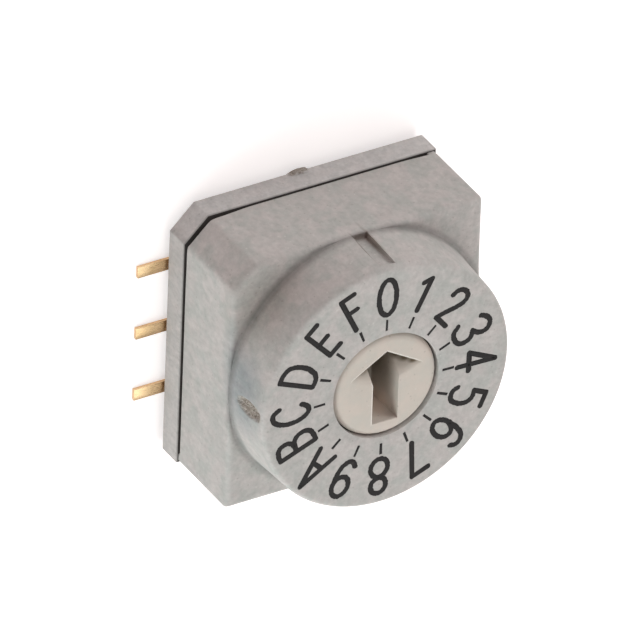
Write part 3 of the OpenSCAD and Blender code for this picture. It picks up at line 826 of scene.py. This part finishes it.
def dress_plain_nodes():
    """The inner nodes whose solids are already right get their finish only."""
    finishes = {"seal_ring": RUBBER, "code_plate": PLATE_GOLD,
                "detent_spring_left": SPRING_STEEL, "detent_spring_right": SPRING_STEEL}
    for node, material in finishes.items():
        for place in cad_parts[node].material_slots:
            place.material = material


# Stage

def make_floor():
    bm = bmesh.new()
    bmesh.ops.create_grid(bm, x_segments=1, y_segments=1, size=1.5)
    mesh = bpy.data.meshes.new("floor")
    bm.to_mesh(mesh)
    bm.free()
    floor = bpy.data.objects.new("floor", mesh)
    bpy.context.scene.collection.objects.link(floor)
    material, tree, shader = new_material("floor_white")
    shader.inputs["Base Color"].default_value = (0.84, 0.79, 0.785, 1)
    shader.inputs["Roughness"].default_value = 1.0
    shader.inputs["Specular IOR Level"].default_value = 0.0
    paths = add_node(tree, "LightPath")
    seen = add_node(tree, "Math", {"operation": "MAXIMUM"}, _0=paths.outputs["Is Camera Ray"],
                    _1=paths.outputs["Is Glossy Ray"])
    glow = add_node(tree, "Math", {"operation": "MULTIPLY"}, _0=seen.outputs[0], _1=0.5)
    shader.inputs["Emission Color"].default_value = (1, 1, 1, 1)
    tree.links.new(glow.outputs[0], shader.inputs["Emission Strength"])
    mesh.materials.append(material)


def make_world():
    """A pale room: even light, and a horizon that looks white."""
    world = bpy.data.worlds.new("pale_room")
    bpy.context.scene.world = world
    world.use_nodes = True
    tree = world.node_tree
    background = tree.nodes["Background"]
    direction = add_node(tree, "TexCoord").outputs["Generated"]
    up = add_node(tree, "SeparateXYZ", None, Vector=direction).outputs["Z"]
    room = spread(tree, up, 0.15, 0.75, 1.0, 0.32)
    paths = add_node(tree, "LightPath")
    seen = add_node(tree, "Math", {"operation": "MAXIMUM"}, _0=paths.outputs["Is Camera Ray"],
                    _1=paths.outputs["Is Glossy Ray"])
    grey = add_node(tree, "Mix", None, Factor=seen.outputs[0], A=WORLD_LIGHT, B=room)
    tree.links.new(grey.outputs[0], background.inputs["Strength"])
    tint = mixed(tree, "MIX", seen.outputs[0], WORLD_TINT, (1, 1, 1, 1))
    tree.links.new(tint, background.inputs["Color"])


def make_lamp(name, direction, level, size, tint=None, distance=0.3):
    """A soft lamp that adds level to the brightness of a white surface square to it."""
    data = bpy.data.lights.new(name, "AREA")
    data.shape = "DISK"
    data.color = tint or LAMP_TINT
    data.size = size
    data.energy = level * (math.pi * distance) ** 2
    lamp = bpy.data.objects.new(name, data)
    bpy.context.scene.collection.objects.link(lamp)
    towards = Vector(direction).normalized()
    lamp.location = towards * distance + Vector((0, 0, 3 * MM))
    lamp.rotation_mode = "QUATERNION"
    lamp.rotation_quaternion = towards.to_track_quat("Z", "Y")


def make_camera():
    """The photograph's view: from the left and above, turned so that the dial faces down right."""
    right, back = Vector(CAMERA_RIGHT), Vector(CAMERA_BACK)
    axes = Matrix((right, back.cross(right), back)).transposed()
    data = bpy.data.cameras.new("camera")
    data.lens = CAMERA_LENS
    data.sensor_width = 36
    data.clip_start, data.clip_end = 0.01, 10
    camera = bpy.data.objects.new("camera", data)
    bpy.context.scene.collection.objects.link(camera)
    camera.matrix_world = Matrix.LocRotScale(Vector(CAMERA_PLACE) * MM, axes, None)
    bpy.context.scene.camera = camera


WORLD_LIGHT = 0.34
WORLD_TINT = (1.2, 1.0, 0.98, 1)
LAMP_TINT = (0.91, 1.0, 0.99)
LEFT_TINT = (0.85, 1.0, 0.99)
CAMERA_PLACE = (-342.671, 447.032, 568.403)
CAMERA_RIGHT = (0.865901, 0.031496, 0.499223)
CAMERA_BACK = (-0.429073, 0.559771, 0.70891)
CAMERA_LENS = 1304.05

make_housing()
make_legend()
make_base()
make_rotor()
make_leads()
dress_plain_nodes()
make_floor()
make_world()
make_lamp("left_lamp", (-0.78, -0.6, 0.16), 0.92, 0.24, LEFT_TINT)
make_lamp("right_lamp", (0.62, 0.74, 0.2), 0.52, 0.24)
make_lamp("front_lamp", (0.15, -0.35, 0.9), 0.55, 0.3)
make_camera()

bpy.context.scene.view_settings.view_transform = "Standard"
